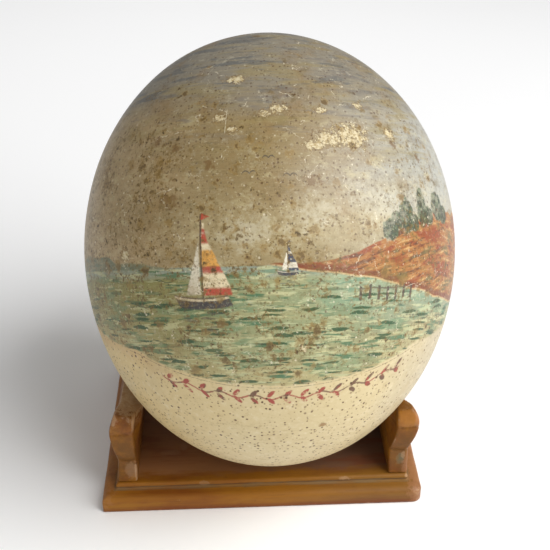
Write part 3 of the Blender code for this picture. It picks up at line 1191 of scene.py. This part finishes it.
def varnish(wood):
    """Orange-brown varnish, yellower and redder in places, over fine grain with short dark pores."""
    slow = wood.grain(42, 9)
    yellow = wood.grain(34, 4)
    fine = wood.grain(24, 0.5)
    look = wood.coats(
        (148, 95, 20),
        ((126, 70, 18), slow, -0.12, 0.18, 1),
        ((158, 108, 26), yellow, 0.03, 0.24, 0.5),
        ((98, 56, 18), fine, 0.02, 0.26, 0.32),
        ((74, 42, 16), wood.grain(3.4, 0.16, 1), 0.14, 0.26, 0.28),
        ((94, 58, 22), wood.blotch, 0.04, 0.3, 0.32),
    )
    return look, fine


def base_stain_and_shade(wood, look):
    """The flat top is darker and redder than the moulding, part stain and part painted shade under the egg.
    It is painted paler at the left and darker towards the right, a painted shadow of the right bracket. The
    moulding is darker and less red towards the right. The slab's foot is redder, and the groove under the
    bead is darkened, a painted shade under the bead."""
    x, y, z = wood.split(wood.spot)
    ragged = wood.grain(12, 2.5) * 8 + wood.blotch * 3
    # the flat top is painted darker and redder: part stain, part painted shade under the egg
    plate = z.fade(8.6, 8.9) * (y + ragged).fade(-36, -31)
    stain_and_shade = wood.coats(
        (162, 112, 72),
        # painted light: paler at the left, and darker towards the right, a painted shadow of the right
        # bracket
        ((106, 76, 60), x + ragged, -38, 20, 1),
        ((112, 50, 26), wood.grain(30, 6), -0.02, 0.16, 0.5),
    )
    foot = z + wood.grain(20, 2) * 3
    # painted shade: a dark line in the groove under the bead
    shade_under_bead = (z + wood.grain(9, 1.5) * 0.8).band(7.2, 7.7, 0.2) * 0.7
    return wood.coats(
        wood.layer(look, stain_and_shade, plate * 0.9),
        ((94, 72, 38), x + ragged, -10, 40, (1 - plate) * 0.42),
        ((112, 52, 22), foot, 2.6, 1.2, 0.6),
        ((60, 38, 22), wood.attribute("crease"), 0, 0.3, shade_under_bead),
    )


def bracket_stain(wood, look):
    """The brackets are darker than the base, in blotches along the grain."""
    return wood.coats(look, ((96, 56, 22), wood.blotch + wood.grain(30, 5), -0.2, 0.16, 0.55))


def wood_material(name, level, stain_and_shade, patches, creases):
    """creases are how deep one has to be to take the crease colour in full, that colour and its strength:
    painted shade in the brackets' creases, and a greyish tone in the base's.
    """
    crease_full, crease_colour, crease_strength = creases
    wood = Wood(name, level)
    look, fine = varnish(wood)
    look = stain_and_shade(wood, look)
    uneven = (wood.blotch + wood.grit * 0.3).fade(-0.2, 0.16, 0.45, 0.95)
    for middle, halves, tint, strength in patches:
        look = wood.coats(look, (tint, wood.away_from(middle, halves), 1.1, 0.7, uneven * strength))
    deep = wood.attribute("crease") + (wood.blotch + wood.grain(7, 2)) * crease_full
    crease = deep.fade(crease_full * 0.3, crease_full * 1.2)
    patchy = wood.grain(16, 4).fade(-0.14, 0.08, 0.3, 1)
    # painted shade in the brackets' creases; a greyish tone in the base's creases
    look = wood.layer(look, crease_colour, crease * patchy * crease_strength)
    edge = wood.attribute("edge") + wood.blotch * 1.8 + wood.grit * 0.5
    look = wood.coats(look, (RUBBED_PALE, edge, 0.8, 1.15, 0.42))
    wood.shader.inputs["Specular IOR Level"].default_value = WOOD_SPECULAR
    roughness = wood.grit * 0.2 + crease * 0.25 + wood.blotch * 0.15 + 0.5
    return wood.finish(look, roughness, fine * 0.5 + wood.grit * 0.35, WOOD_BUMP)


# ---- room


def make_floor():
    bm = bmesh.new()
    half = FLOOR_SIDE / 2
    bm.faces.new([bm.verts.new((x * half, y * half, 0)) for x, y in ((-1, -1), (1, -1), (1, 1), (-1, 1))])
    floor = add_object("floor", bm)
    pale = bpy.data.materials.new("pale_floor")
    pale.use_nodes = True
    shader = pale.node_tree.nodes["Principled BSDF"]
    shader.inputs["Base Color"].default_value = (FLOOR_TONE, FLOOR_TONE, FLOOR_TONE, 1)
    shader.inputs["Roughness"].default_value = FLOOR_ROUGHNESS
    floor.data.materials.append(pale)


def add_light(name, place, side, power):
    """A square lamp that shines on the base."""
    lamp = bpy.data.lights.new(name, "AREA")
    lamp.size = side
    lamp.energy = power
    obj = link(name, lamp)
    obj.location = place
    towards = Vector((0, 0, BASE_HEIGHT)) - place
    obj.rotation_euler = towards.to_track_quat("-Z", "Y").to_euler()


def add_backdrop_light():
    """A soft pool of light on the floor behind the egg, which it doesn't reach."""
    lamp = bpy.data.lights.new("backdrop", "SPOT")
    lamp.spot_size = BACKDROP_CONE
    lamp.spot_blend = 1.0
    lamp.shadow_soft_size = BACKDROP_SIZE
    lamp.energy = BACKDROP_POWER
    link("backdrop", lamp).location = BACKDROP_LIGHT


def make_light():
    for name, (place, side, power) in LIGHTS.items():
        add_light(name, place, side, power)
    add_backdrop_light()
    world = bpy.data.worlds.new("soft_room")
    world.use_nodes = True
    background = world.node_tree.nodes["Background"]
    background.inputs["Strength"].default_value = WORLD_STRENGTH
    background.inputs["Color"].default_value = (1, 1, 1, 1)
    bpy.context.scene.world = world
    bpy.context.scene.view_settings.view_transform = "Standard"


def make_camera():
    data = bpy.data.cameras.new("camera")
    data.sensor_width = SENSOR
    data.lens = SENSOR * FOCAL_PIXELS / PHOTO_SIDE
    data.clip_start = CLIP_START
    camera = link("camera", data)
    camera.location = CAMERA_PLACE
    camera.rotation_euler = (math.pi / 2 - CAMERA_DOWN, 0, CAMERA_TURN)
    bpy.context.scene.camera = camera


# ---- all together


def stand_for(piece, node):
    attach(piece, "root")
    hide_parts(node)


make_camera()
make_floor()
make_light()
stand_for(make_egg(), "egg")
stand_for(make_base(), "stand_base")
for side in BRACKETS:
    stand_for(make_bracket(side), side + "_bracket")
